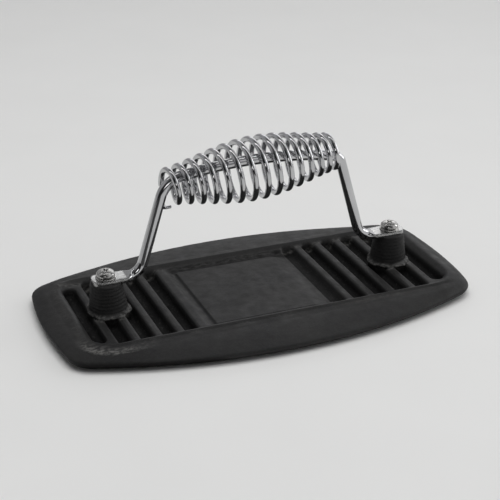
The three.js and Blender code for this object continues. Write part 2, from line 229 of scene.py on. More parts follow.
# Flattened eye at each end of the rod.
EYE_TIP = float(ROD_HIGH[0])
EYE_HALF_WIDTH = float(ROD_HIGH[1])
EYE_BOTTOM = float(ROD_LOW[2])
EYE_THICKNESS = float(WASHER_LOW[2] - ROD_LOW[2])
EYE_NECK = 65.4
EYE_SHOULDER = 70.5
FLAT_START = EYE_NECK - 0.5
HAMMERED_START = EYE_NECK + 1
HAMMERED_HEIGHT = 6
EYE_LAST_SHARE = 0.999
EYE_TAPER = 0.2
EYE_BLUNTNESS = 12
EYE_SQUARENESS = 0.72
NECK_SHARE = 0.82
BELLY_SHARE = 0.18

# Stop ear on the left leg.
EAR_ROOT = -52.0
EAR_SHOULDER = -48.9
EAR_TIP = -44.8
EAR_TOP = 65.0
EAR_BOTTOM = 59.1
EAR_TIP_HEIGHT = 1.5
EAR_FILLET = 1.3
EAR_FILLET_CURVE = 2.2
EAR_HALF_WIDTH = 1.9
EAR_NARROWING = 0.8
EAR_TIP_SHARE = 0.5
EAR_SECTIONS = 36
EAR_SIDES = 24

# Spring grip, about the joint's own axis. Its turns lie wider apart in the share of its length
# where the spread comes on, and closer where it goes off.
WIRE_RADIUS = 1.5
WIRE_SIDES = 16
GRIP_START = -47.3
GRIP_END = 43.7
GRIP_TURNS = 14.8
GRIP_TURN_STEPS = 64
GRIP_FIRST_TURN = -0.3
GRIP_SPREAD = 0.032
GRIP_SPREAD_ON = (0.2, 0.68)
GRIP_SPREAD_OFF = (0.86, 1)
GRIP_END_RADIUS = 8.3
GRIP_BULGE = 6.8
GRIP_BULGE_SPAN = 94.0
GRIP_BULGE_CURVE = 1.5

# Washers and screws.
ROUND_STEPS = 96
CORNER_STEPS = 5
WASHER_LOWER_EDGE = 0.12
WASHER_OUTER_EDGE = 0.3
WASHER_HOLE_EDGE = 0.2
SHANK_RADIUS = 2.4
SHANK_TIP_RADIUS = 1.7
SHANK_TAPER = 0.7
HEAD_SIDE = 1.0
HEAD_EDGE = 0.25
DOME_POWER = 0.62
DOME_STEPS = 20
WORN_EDGE = 0.14
WORN_ANGLE = 35

# Cross recess in a screw's head: the turns of its two wedges in degrees, and each wedge's upper
# and lower end as (height above the head, half length, half width).
CROSS_TURNS = (20, 110)
CROSS_UPPER = (0.6, 2.6, 0.62)
CROSS_LOWER = (-1.8, 0.8, 0.38)

# Edges sharper than these angles in degrees stay sharp in the shading.
WIRE_SHARP = 50
WASHER_SHARP = 35
SCREW_SHARP = 38


# ---- meshes ----

def place(name, points_mm, faces, body, replaced):
    """Makes a piece from points in millimetres and puts it on its body."""
    mesh = bpy.data.meshes.new(name)
    mesh.from_pydata(np.asarray(points_mm, float) * MM, [], faces)
    mesh.validate()
    mesh.shade_smooth()
    piece = bpy.data.objects.new(name, mesh)
    bpy.context.scene.collection.objects.link(piece)
    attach(piece, body)
    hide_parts(replaced)
    return piece


def shade(mesh, sharp_angle):
    """Shades a mesh smoothly, except across edges sharper than an angle in degrees."""
    mesh.shade_smooth()
    mesh.set_sharp_from_angle(angle=math.radians(sharp_angle))


def read_vectors(items, key):
    """A vector property of all of a mesh's items, as one row each."""
    values = np.zeros(len(items) * 3, np.float32)
    items.foreach_get(key, values)
    return values.reshape(-1, 3)


def write_attribute(mesh, name, values):
    """Stores one number for each of a mesh's points, for its material to read."""
    attribute = mesh.attributes.new(name, "FLOAT", "POINT")
    attribute.data.foreach_set("value", values.astype(np.float32))


def sweep(rings):
    """Points and faces of a closed body through rings of equal point counts."""
    count = len(rings[0])
    points = np.concatenate(rings)
    faces = []
    for ring in range(len(rings) - 1):
        low = ring * count
        for side in range(count):
            after = (side + 1) % count
            faces.append((low + side, low + after, low + count + after, low + count + side))
    faces.append(tuple(range(count))[::-1])
    faces.append(tuple(range(len(points) - count, len(points))))
    return points, faces


def lathe(profile, x):
    """Points and faces of a turned body. The profile is (radius, z), from the axis to the axis."""
    steps = ROUND_STEPS
    angles = np.linspace(0, 2 * math.pi, steps, endpoint=False)
    inner = profile[1:-1]
    points = [(x, 0, profile[0][1]), (x, 0, profile[-1][1])]
    for radius, z in inner:
        points += [(x + radius * math.cos(a), radius * math.sin(a), z) for a in angles]
    faces = []
    last = 2 + (len(inner) - 1) * steps
    for side in range(steps):
        after = (side + 1) % steps
        faces.append((0, 2 + after, 2 + side))
        faces.append((1, last + side, last + after))
        for ring in range(len(inner) - 1):
            low = 2 + ring * steps
            faces.append((low + side, low + after, low + steps + after, low + steps + side))
    return points, faces


def apply_modifiers(piece):
    """Bakes the piece's modifiers into its mesh."""
    graph = bpy.context.evaluated_depsgraph_get()
    mesh = bpy.data.meshes.new_from_object(piece.evaluated_get(graph))
    piece.modifiers.clear()
    piece.data = mesh


def combine(piece, points_mm, faces, operation):
    """Joins a closed body to the piece, or cuts it out."""
    mesh = bpy.data.meshes.new("tool")
    mesh.from_pydata(np.asarray(points_mm, float) * MM, [], faces)
    tool = bpy.data.objects.new("tool", mesh)
    bpy.context.scene.collection.objects.link(tool)
    modifier = piece.modifiers.new("combine", "BOOLEAN")
    modifier.operation = operation
    modifier.solver = "EXACT"
    modifier.object = tool
    apply_modifiers(piece)
    bpy.data.objects.remove(tool)


# ---- plate ----

def smooth_max(first, second, width):
    """The larger of two distances, rounded over a width."""
    share = np.clip(0.5 + 0.5 * (first - second) / width, 0, 1)
    return second + (first - second) * share + width * share * (1 - share)


def smooth_min(first, second, width):
    """The smaller of two distances, rounded over a width."""
    return -smooth_max(-first, -second, width)


def smooth_step(value, start, end):
    """Rises smoothly from 0 at the start to 1 at the end."""
    share = np.clip((value - start) / (end - start), 0, 1)
    return share * share * (3 - 2 * share)


def bell(value, middle, width):
    """A smooth hump that is 1 at the middle and fades over a width."""
    return np.exp(-(((value - middle) / width) ** 2))


def waves(value, terms, mean):
    """A sum of sine waves about a mean, each as (height, frequency, phase)."""
    total = mean
    for height, frequency, phase in terms:
        total = total + height * np.sin(value * frequency + phase)
    return total


def outline_distance(x, y):
    """Distance outside the plate's outline of four arcs with rounded corners."""
    x, y = np.abs(x), np.abs(y)
    side_centre = HALF_WIDTH - SIDE_ARC
    end_centre = HALF_LENGTH - END_ARC
    to_side, to_end = SIDE_ARC - CORNER_ARC, END_ARC - CORNER_ARC
    apart = math.hypot(end_centre, side_centre)
    along = (to_side**2 - to_end**2 + apart**2) / (2 * apart)
    across = math.sqrt(to_side**2 - along**2)
    unit_x, unit_y = end_centre / apart, -side_centre / apart
    corner_x = along * unit_x + across * unit_y
    corner_y = side_centre + along * unit_y - across * unit_x
    end_angle = math.atan2(corner_y, corner_x - end_centre)
    side_angle = math.atan2(corner_y - side_centre, corner_x)
    side = np.hypot(x, y - side_centre) - SIDE_ARC
    end = np.hypot(x - end_centre, y) - END_ARC
    corner = np.hypot(x - corner_x, y - corner_y) - CORNER_ARC
    angle = np.arctan2(y - corner_y, x - corner_x)
    at_corner = (angle > end_angle) & (angle < side_angle)
    return np.where(at_corner, corner, np.maximum(side, end))


def rectangle_distance(x, y, middle, half_length, half_width, radius):
    """Distance outside a rounded rectangle in plan."""
    across_x = np.abs(x - middle) - half_length + radius
    across_y = np.abs(y) - half_width + radius
    outside = np.hypot(np.maximum(across_x, 0), np.maximum(across_y, 0))
    return outside + np.minimum(np.maximum(across_x, across_y), 0) - radius


def field_distance(x, y):
    """Distance outside the ribbed field in plan."""
    return rectangle_distance(
        x, y, FIELD_MIDDLE, FIELD_HALF_LENGTH, FIELD_HALF_WIDTH, FIELD_CORNER
    )


def near_left_corner(x, y):
    """From 0 to 1 along the near left corner of the bead, where the casting is roughest."""
    along = smooth_step(x, *CORNER_FADE_IN) * (1 - smooth_step(x, *CORNER_FADE_OUT))
    return along * smooth_step(-y, *CORNER_NEAR)


def rim_height(x, y, outside_field):
    """Height of the sloping rim, from the bead's shoulder down to the lip."""
    inset = np.clip(-outline_distance(x, y), 0, None)
    to_shoulder = np.maximum(outside_field - SHOULDER_END, 0)
    share = inset / (inset + to_shoulder + 1e-6)
    return LIP_TOP + (SHOULDER_OUTER - LIP_TOP) * (1 - (1 - share) ** SLOPE_CURVE)


def bead_height(x, outside_field):
    """Height of the bead round the ribs: its inner face, its crest and its outer shoulder."""
    at_end = smooth_step(np.abs(x - FIELD_MIDDLE), *END_ZONE)
    across = np.clip((outside_field - CREST_END) / (SHOULDER_END - CREST_END), 0, 1)
    bead = RIB_TOP + (BEAD_CREST - RIB_TOP) * smooth_step(outside_field, BEAD_FOOT, CREST_START)
    step_width = SHOULDER_START - CREST_END + END_SHOULDER_EXTRA * at_end
    step_out = (outside_field - CREST_END) / step_width
    bead = bead - (BEAD_CREST - SHOULDER_INNER) * smooth_step(step_out, 0, 1)
    return bead - (SHOULDER_INNER - SHOULDER_OUTER) * across**SHOULDER_CURVE


def recess_height(x, y):
    """Height of the recess with its panel and flash, and where it lies, from 0 to 1."""
    from_left = smooth_step(x, *RECESS_LEFT_EDGE)
    from_right = smooth_step(-x, -RECESS_RIGHT_EDGE[1], -RECESS_RIGHT_EDGE[0])
    inside = from_left * from_right * smooth_step(FIELD_HALF_WIDTH - np.abs(y), *RECESS_SIDE_EDGE)
    margin = np.where(y > 0, PANEL_FAR_MARGIN, PANEL_NEAR_MARGIN)
    outside_panel = np.maximum(PANEL[0] - x, np.abs(y) - FIELD_HALF_WIDTH + margin)
    sunk = PANEL_TOP + (PANEL_BORDER - PANEL_TOP) * smooth_step(outside_panel, *PANEL_EDGE)
    sunk = sunk + (PANEL_RIGHT_EDGE - sunk) * smooth_step(x, *PANEL_FALL)
    wander = waves(x, FLASH_WANDER, 0)
    lumps = waves(x, FLASH_LUMPS, FLASH_MEAN)
    flash = FLASH_HEIGHT * lumps * bell(y - FLASH_Y, wander, FLASH_WIDTH)
    return sunk + flash, inside


def top_height(x, y):
    """Height of the plate's upper face, before the grooves are cut."""
    outside_field = field_distance(x, y)
    slope = rim_height(x, y, outside_field)
    bead = bead_height(x, outside_field)
    height = np.where(outside_field > SHOULDER_END, slope, bead)
    raised = bell(outside_field, CORNER_EDGE, CORNER_EDGE_WIDTH) * near_left_corner(x, y)
    height = height + CORNER_EDGE_HEIGHT * raised
    sunk, inside = recess_height(x, y)
    return height + (np.minimum(sunk, height) - height) * inside


def groove_field(x, y):
    """Distance outside the nearest groove at the rib tops, and that groove's floor, in plan."""
    nearest = np.full(x.shape, FAR_AWAY, np.float32)
    floor = np.full(x.shape, GROOVE_FLOOR, np.float32)
    for first, pitch, count in (LEFT_GROOVES, RIGHT_GROOVES):
        width = abs(pitch) * GROOVE_SHARE
        for index in range(count):
            middle = first + index * pitch - width / 2
            at_end = index == count - 1
            half_length = END_GROOVE_HALF_LENGTH if at_end else GROOVE_HALF_LENGTH
            radius = END_GROOVE_CORNER if at_end else GROOVE_CORNER
            distance = rectangle_distance(x, y, middle, width / 2, half_length, radius)
            nearest = np.minimum(nearest, distance)
            if pitch > 0 and index == 0:
                floor = np.where(np.abs(x - middle) < width, SHALLOW_FLOOR, floor)
    return nearest, floor


def boss_distance(x, y, z, middle, lean):
    """A drafted round boss, leaning about its top, with a ragged collar at the rib tops. The
    counts and phases of its ripples and rags have no meaning beyond looking uneven."""
    x = x - middle - lean * (z - BOSS_TOP)
    radius = np.hypot(x, y)
    angle = np.arctan2(y, x)
    draft = (BOSS_WALL_RADIUS - BOSS_TOP_RADIUS) / (BOSS_TOP - WALL_FOOT)
    wall = BOSS_WALL_RADIUS - draft * (z - WALL_FOOT)
    ripple = np.sin(z * 3.4 + 0.8 * np.sin(2 * angle)) + 0.8 * np.sin(z * 5.7 + 1.5 * angle)
    wall = wall + RIPPLE_DEPTH * ripple * smooth_step(z, *RIPPLE_ZONE)
    ragged = 1 + 0.3 * np.sin(3 * angle + middle) + 0.25 * np.sin(7 * angle + 2 + z)
    ragged = ragged + 0.2 * np.sin(13 * angle + 3 * z) * np.sin(2 * angle + 1)
    collar = bell(z, COLLAR_HEIGHT, COLLAR_THICKNESS) * ragged
    wall = wall + (COLLAR_RADIUS - BOSS_WALL_RADIUS) * collar
    ends = np.maximum(z - BOSS_TOP, BOSS_ROOT - z)
    return smooth_max(radius - wall, ends, BOSS_EDGE)


def plate_distance():
    """The plate's distance field on a grid, and the grid's first corner."""
    low = np.array([PLATE_LOW[0] - GRID_MARGIN, PLATE_LOW[1] - GRID_MARGIN, -GRID_MARGIN_UP])
    high = np.array(
        [PLATE_HIGH[0] + GRID_MARGIN, PLATE_HIGH[1] + GRID_MARGIN, BOSS_TOP + GRID_MARGIN_UP]
    )
    axes = [np.arange(a, b, CELL, dtype=np.float32) for a, b in zip(low, high)]
    x, y = np.meshgrid(axes[0], axes[1], indexing="ij")
    z = axes[2][None, None, :]
    outside = outline_distance(x, y)
    rise = np.clip(1 + outside / UNDERCUT, 0, 1) ** UNDERCUT_CURVE * LIP_EDGE
    field = smooth_max(z - top_height(x, y)[:, :, None], rise[:, :, None] - z, LIP_FILLET)
    field = smooth_max(field, outside[:, :, None].astype(np.float32), OUTLINE_FILLET)
    groove, floor = groove_field(x, y)
    wall = groove[:, :, None] - (z - RIB_TOP) * GROOVE_DRAFT
    hollow = smooth_max(wall, floor[:, :, None] - z, FLOOR_FILLET)
    field = smooth_max(field, -hollow, RIB_FILLET)
    for middle, lean in zip(SCREW_X, BOSS_LEAN):
        near = np.abs(axes[0] - middle) < BOSS_REACH
        here = np.ix_(near, np.abs(axes[1]) < BOSS_REACH)
        near_x, near_y = x[here][:, :, None], y[here][:, :, None]
        boss = boss_distance(near_x, near_y, z, middle, lean)
        part = smooth_min(field[here], boss, BOSS_FILLET)
        hole = np.maximum(np.hypot(near_x - middle, near_y) - HOLE_RADIUS, HOLE_BOTTOM - z)
        field[here] = smooth_max(part, -hole, HOLE_FILLET)
    return field, low


def rough_places(x, y, z):
    """Where the casting is rough, each from 0 to 1: along the bead's shoulder, at its near left
    corner, in the boss collars, and in the flash at the far foot of the bead."""
    outside_field = field_distance(x, y)
    band = smooth_step(outside_field, CREST_END, SHOULDER_START)
    band = band * (1 - smooth_step(outside_field, *BAND_FADE))
    corner = smooth_step(outside_field, *CORNER_INNER_FADE) * near_left_corner(x, y)
    corner = corner * (1 - smooth_step(outside_field, *CORNER_OUTER_FADE))
    collar = np.zeros(len(x))
    for middle in SCREW_X:
        radius = np.hypot(x - middle, y)
        across = (radius - COLLAR_RADIUS) / COLLAR_ROUGH_WIDTH
        up = (z - COLLAR_HEIGHT) / COLLAR_ROUGH_HEIGHT
        collar += np.exp(-(across**2) - up**2)
    flash = bell(y - FLASH_Y, FLASH_ROUGH_MIDDLE, FLASH_ROUGH_WIDTH)
    flash = flash * (np.abs(x) < FIELD_HALF_LENGTH)
    on_panel = (x > RECESS[0]) & (x < RECESS[1])
    flash = flash * np.where(on_panel, FLASH_ON_PANEL, 1)
    return band, corner, np.clip(collar, 0, 1), flash


def depth_share(x, y, z):
    """How deep a point lies in the grooves, from 0 at the rib tops to 1 near the floors."""
    below = smooth_step(RIB_TOP - z, *SUNK_DEPTHS)
    in_field = 1 - smooth_step(field_distance(x, y), *SUNK_FADE)
    panel = (x > RECESS[0] - SUNK_MARGIN) & (x < RECESS[1] + SUNK_MARGIN)
    return below * in_field * np.where(panel, 0.0, 1.0)


def noise_at(points, terms):
    """A sum of smooth noises at points in metres, each as (share, size of its features, seed).
    Each noise runs from -1 to 1 times its share."""
    total = 0
    for share, size_mm, seed in terms:
        offset = Vector((seed * 17.3, seed * 5.1, seed * 9.7))
        scale = 1 / (size_mm * MM)
        values = [noise.noise(Vector(point) * scale + offset) for point in points]
        total = total + share * np.array(values)
    return total


def press_plate():
    """The plate's casting, roughened by noise, with its wear and depth stored for the material."""
    field, low = plate_distance()
    grid = openvdb.FloatGrid(3 * CELL)
    grid.copyFromArray(np.clip(field, -3 * CELL, 3 * CELL))
    points, quads = grid.convertToQuads()
    points = points * CELL + low
    piece = place("plate_casting", points, quads.tolist(), "press", "press_plate")
    mesh = piece.data
    normals = read_vectors(mesh.vertex_normals, "vector")
    co = read_vectors(mesh.vertices, "co")
    x, y, z = (co / MM).T
    band, corner, collar, flash = rough_places(x, y, z)
    patches = smooth_step(noise_at(co, PATCH_NOISE), *PATCH_EDGE)
    rough = BAND_ROUGH * band * patches + CORNER_ROUGH * corner
    rough = rough + COLLAR_ROUGH * collar + FLASH_ROUGH * flash
    above = smooth_step(z, *SMOOTH_BELOW)
    uneven = UNEVEN_DEPTH * noise_at(co, UNEVEN_NOISE)
    shift = (uneven + ROUGH_DEPTH * rough * noise_at(co, FINE_NOISE)) * above * MM
    co += normals * shift[:, None]
    mesh.vertices.foreach_set("co", co.ravel())
    worn = BAND_WORN * band * patches + CORNER_WORN * corner
    worn = worn + COLLAR_WORN * collar + FLASH_WORN * flash
    write_attribute(mesh, "wear", np.clip(worn, 0, 1))
    # Depth in the grooves, which the material turns into painted shade.
    write_attribute(mesh, "sunk", depth_share(*(co / MM).T))
    mesh.update()
    modifier = piece.modifiers.new("thin", "DECIMATE")
    modifier.ratio = KEPT_SHARE
    apply_modifiers(piece)
    return piece


# ---- handle ----

def leg_x(z):
    """How far the legs' centre lines are from the middle at a height."""
    return LEG_FOOT - LEG_LEAN * (z - RIB_TOP)


def half_centre_line(upper_bend):
    """The rod's centre line from the eye's tip to the top of the arch, as x, z and direction."""
    eye_middle = EYE_BOTTOM + EYE_THICKNESS / 2
    leg_angle = math.atan2(1, LEG_LEAN)
    bend_x = leg_x(eye_middle) + LOWER_BEND * math.tan(leg_angle / 2)
    bend_z = eye_middle + LOWER_BEND
    spacing = 1 - np.cos(np.linspace(0, math.pi / 2, EYE_SECTIONS))
    line = [(x, eye_middle, 0.0) for x in EYE_TIP + (bend_x - EYE_TIP) * spacing[:-1]]
    for angle in np.linspace(0, leg_angle, LOWER_BEND_SECTIONS):
        line.append(
            (bend_x - LOWER_BEND * math.sin(angle), bend_z - LOWER_BEND * math.cos(angle), angle)
        )
    arch_z = ARCH_TOP - ARCH_RADIUS
    knee_x = KNEE_GUESS
    for _ in range(KNEE_ROUNDS):
        knee_x = leg_x(arch_z + math.sqrt(ARCH_RADIUS**2 - knee_x**2))
    knee_z = arch_z + math.sqrt(ARCH_RADIUS**2 - knee_x**2)
    arch_angle = math.asin(knee_x / ARCH_RADIUS)
    turn = leg_angle - arch_angle
    setback = upper_bend * math.tan(turn / 2)
    start_x = knee_x + setback * math.cos(leg_angle)
    start_z = knee_z - setback * math.sin(leg_angle)
    last_x, last_z, _ = line[-1]
    for share in np.linspace(0, 1, LEG_SECTIONS)[1:-1]:
        line.append(
            (last_x + (start_x - last_x) * share, last_z + (start_z - last_z) * share, leg_angle)
        )
    centre_x = start_x - upper_bend * math.sin(leg_angle)
    centre_z = start_z - upper_bend * math.cos(leg_angle)
    for angle in np.linspace(leg_angle, arch_angle, UPPER_BEND_SECTIONS):
        line.append(
            (centre_x + upper_bend * math.sin(angle), centre_z + upper_bend * math.cos(angle), angle)
        )
    arch_start = arch_angle - setback / ARCH_RADIUS
    for angle in np.linspace(arch_start, 0, ARCH_SECTIONS)[1:]:
        line.append((ARCH_RADIUS * math.sin(angle), arch_z + ARCH_RADIUS * math.cos(angle), angle))
    return line


def eye_half_width(x):
    """Half width of the rod, which is hammered flat into a blunt eye round the screw."""
    hole_x = SCREW_X[1]
    if x > hole_x:
        share = min((x - hole_x) / (EYE_TIP - hole_x), EYE_LAST_SHARE)
        return EYE_HALF_WIDTH * (1 - EYE_TAPER * share**3) * math.sqrt(1 - share**EYE_BLUNTNESS)
    neck = float(smooth_step(x, EYE_NECK, EYE_SHOULDER))
    belly = float(smooth_step(x, EYE_SHOULDER, hole_x))
    widening = NECK_SHARE * neck + BELLY_SHARE * belly
    return ROD_RADIUS + (EYE_HALF_WIDTH - ROD_RADIUS) * widening


def squared(value, power):
    """A cosine or sine, pushed towards its ends so that a round section becomes a square one."""
    return np.sign(value) * np.abs(value) ** power


def rod_ring(x, z, direction, side):
    """A section of the rod, round on the legs and arch and flat with square edges at the eye."""
    angles = np.linspace(0, 2 * math.pi, ROD_SIDES, endpoint=False)
    flat = float(smooth_step(x, FLAT_START, EYE_SHOULDER))
    half_thickness = ROD_RADIUS + (EYE_THICKNESS / 2 - ROD_RADIUS) * flat
    power = 1 - EYE_SQUARENESS * flat
    across = eye_half_width(x) * squared(np.cos(angles), power)
    outward = half_thickness * squared(np.sin(angles), power)
    points_x = side * (x + outward * math.sin(direction))
    return np.stack([points_x, across, z + outward * math.cos(direction)], axis=1)


def stop_ear():
    """Points and faces of the pinched ear on the left leg that keeps the grip from sliding down.
    Sections run from inside the leg to the tip, and get thinner and lower."""
    sections = []
    for x in np.linspace(EAR_ROOT, EAR_TIP, EAR_SECTIONS):
        past = max(x - EAR_SHOULDER, 0)
        left = max(1 - past / EAR_FILLET, 0) ** EAR_FILLET_CURVE
        top = EAR_BOTTOM + EAR_TIP_HEIGHT + (EAR_TOP - EAR_BOTTOM - EAR_TIP_HEIGHT) * left
        half = EAR_HALF_WIDTH - EAR_NARROWING * past / (EAR_TIP - EAR_SHOULDER)
        half = half * (EAR_TIP_SHARE if x == EAR_TIP else 1)
        middle, rise = (top + EAR_BOTTOM) / 2, (top - EAR_BOTTOM) / 2
        ring = []
        for angle in np.linspace(0, 2 * math.pi, EAR_SIDES, endpoint=False):
            ring.append((x, half * math.cos(angle), middle + rise * math.sin(angle)))
        sections.append(np.array(ring))
    return sweep(sections)


def handle_rod():
    """The bent rod with its eyes and stop ear. The flattened eyes are marked for the material."""
    left = [rod_ring(*station, -1) for station in half_centre_line(LEFT_UPPER_BEND)]
    right = [rod_ring(*station, 1) for station in half_centre_line(RIGHT_UPPER_BEND)[-2::-1]]
    points, faces = sweep(left + right)
    piece = place("handle_rod_fine", points, faces, "press", "handle_rod")
    combine(piece, *stop_ear(), "UNION")
    mesh = piece.data
    x, _, z = read_vectors(mesh.vertices, "co").astype(float).T / MM
    on_eye = smooth_step(np.abs(x), HAMMERED_START, EYE_SHOULDER)
    write_attribute(mesh, "flattened", on_eye * (z < EYE_BOTTOM + HAMMERED_HEIGHT))
    shade(mesh, WIRE_SHARP)
    return piece


# ---- grip ----

def unit_rows(vectors):
    """The same vectors at length one."""
    return vectors / np.linalg.norm(vectors, axis=1)[:, None]


def grip_spring():
    joint = frame["joints"][0]
    origin = np.array(joint["pos_m"]) / MM
    axis = np.array(joint["axis"])
    front = np.array([0.0, 1.0, 0.0])
    up = np.cross(axis, front)
    share = np.linspace(0, 1, round(GRIP_TURNS * GRIP_TURN_STEPS) + 1)
    spread_off = 1 - smooth_step(share, *GRIP_SPREAD_OFF)
    spread = GRIP_SPREAD * smooth_step(share, *GRIP_SPREAD_ON) * spread_off
    along = GRIP_START + (GRIP_END - GRIP_START) * (share + spread)
    angle = 2 * math.pi * (GRIP_FIRST_TURN + GRIP_TURNS * share)
    swell = np.maximum(np.cos(math.pi * along / GRIP_BULGE_SPAN), 0) ** GRIP_BULGE_CURVE
    radius = GRIP_END_RADIUS + GRIP_BULGE * swell
    centre = (
        origin
        + along[:, None] * axis
        - (radius * np.sin(angle))[:, None] * front
        + (radius * np.cos(angle))[:, None] * up
    )
    tangent = unit_rows(np.gradient(centre, axis=0))
    from_axis = centre - origin
    from_axis = unit_rows(from_axis - (from_axis @ axis)[:, None] * axis)
    sideways = unit_rows(np.cross(tangent, from_axis))
    outward = np.cross(sideways, tangent)
    turn = np.linspace(0, 2 * math.pi, WIRE_SIDES, endpoint=False)
    rings = [
        middle + WIRE_RADIUS * (np.cos(turn)[:, None] * out + np.sin(turn)[:, None] * aside)
        for middle, out, aside in zip(centre, outward, sideways)
    ]
    points, faces = sweep(rings)
    piece = place("grip_coil", points, faces, "grip", "grip_spring")
    shade(piece.data, WIRE_SHARP)
    return piece


# ---- fasteners ----

def rounded(profile):
    """Rounds the inner points of a profile given as (radius, z, size of the corner)."""
    result = []
    for index, (radius, z, corner) in enumerate(profile):
        here = np.array([radius, z])
        if corner == 0 or index in (0, len(profile) - 1):
            result.append(here)
            continue
        before = np.array(profile[index - 1][:2]) - here
        after = np.array(profile[index + 1][:2]) - here
        start = here + before / np.linalg.norm(before) * corner
        end = here + after / np.linalg.norm(after) * corner
        for t in np.linspace(0, 1, CORNER_STEPS):
            result.append((1 - t) ** 2 * start + 2 * t * (1 - t) * here + t * t * end)
    return [(float(radius), float(z)) for radius, z in result]


def washer(name, x):
    """A flat washer with softened edges, as a ring swept about the screw."""
    low, high = WASHER_LOW[2], WASHER_HIGH[2]
    outer = float(WASHER_HIGH[0] - WASHER_LOW[0]) / 2
    section = rounded(
        [
            (HOLE_RADIUS, (low + high) / 2, 0),
            (HOLE_RADIUS, low, WASHER_LOWER_EDGE),
            (outer, low, WASHER_LOWER_EDGE),
            (outer, high, WASHER_OUTER_EDGE),
            (HOLE_RADIUS, high, WASHER_HOLE_EDGE),
            (HOLE_RADIUS, (low + high) / 2, 0),
        ]
    )[:-1]
    rings = []
    for angle in np.linspace(0, 2 * math.pi, ROUND_STEPS, endpoint=False):
        rings.append([(x + r * math.cos(angle), r * math.sin(angle), z) for r, z in section])
    count = len(section)
    points = np.concatenate(rings)
    faces = []
    for ring in range(ROUND_STEPS):
        here, beyond = ring * count, (ring + 1) % ROUND_STEPS * count
        for side in range(count):
            after = (side + 1) % count
            faces.append((here + side, beyond + side, beyond + after, here + after))
    piece = place(name + "_fine", points, faces, "press", name)
    shade(piece.data, WASHER_SHARP)
    return piece


def cross_recess(x, top):
    """A tapered cross that sinks into the screw's head, as two closed wedges."""
    wedges = []
    for turn in (math.radians(degrees) for degrees in CROSS_TURNS):
        along = np.array([math.cos(turn), math.sin(turn), 0])
        across = np.array([-math.sin(turn), math.cos(turn), 0])
        points = []
        for above, length, width in (CROSS_UPPER, CROSS_LOWER):
            centre = np.array([x, 0, top + above])
            for a, b in ((-1, -1), (1, -1), (1, 1), (-1, 1)):
                points.append(centre + a * length * along + b * width * across)
        faces = [(0, 1, 2, 3), (7, 6, 5, 4)]
        faces += [(i, i + 4, (i + 1) % 4 + 4, (i + 1) % 4) for i in range(4)]
        wedges.append((points, faces))
    return wedges


def screw(name, x):
    """A pan-head screw with a cross recess and worn edges."""
    head_low = WASHER_HIGH[2]
    top = float(SCREW_HIGH[2])
    bottom = float(SCREW_LOW[2])
    head_radius = float(SCREW_HIGH[0] - SCREW_LOW[0]) / 2
    side = head_low + HEAD_SIDE
    dome = [
        (head_radius * math.cos(a) ** DOME_POWER, side + (top - side) * math.sin(a))
        for a in np.linspace(0, math.pi / 2, DOME_STEPS)
    ][1:-1]
    profile = [
        (0, bottom),
        (SHANK_TIP_RADIUS, bottom),
        (SHANK_RADIUS, bottom + SHANK_TAPER),
        (SHANK_RADIUS, head_low),
        (head_radius - HEAD_EDGE, head_low),
        (head_radius, head_low + HEAD_EDGE),
        (head_radius, side),
        *dome,
        (0, top),
    ]
    points, faces = lathe(profile, x)
    piece = place(name + "_fine", points, faces, "press", name)
    for wedge_points, wedge_faces in cross_recess(x, top):
        combine(piece, wedge_points, wedge_faces, "DIFFERENCE")
    bevel = piece.modifiers.new("worn_edges", "BEVEL")
    bevel.width = WORN_EDGE * MM
    bevel.segments = 2
    bevel.limit_method = "ANGLE"
    bevel.angle_limit = math.radians(WORN_ANGLE)
    apply_modifiers(piece)
    shade(piece.data, SCREW_SHARP)
    return piece


# ---- materials ----

def add_node(tree, kind, **settings):
    node = tree.nodes.new(kind)
    for key, value in settings.items():
        setattr(node, key, value)
    return node


def set_range(node, *limits):
    """Sets a map range's limits: from low, from high, to low, to high."""
    for key, value in zip(("From Min", "From Max", "To Min", "To Max"), limits):
        node.inputs[key].default_value = value


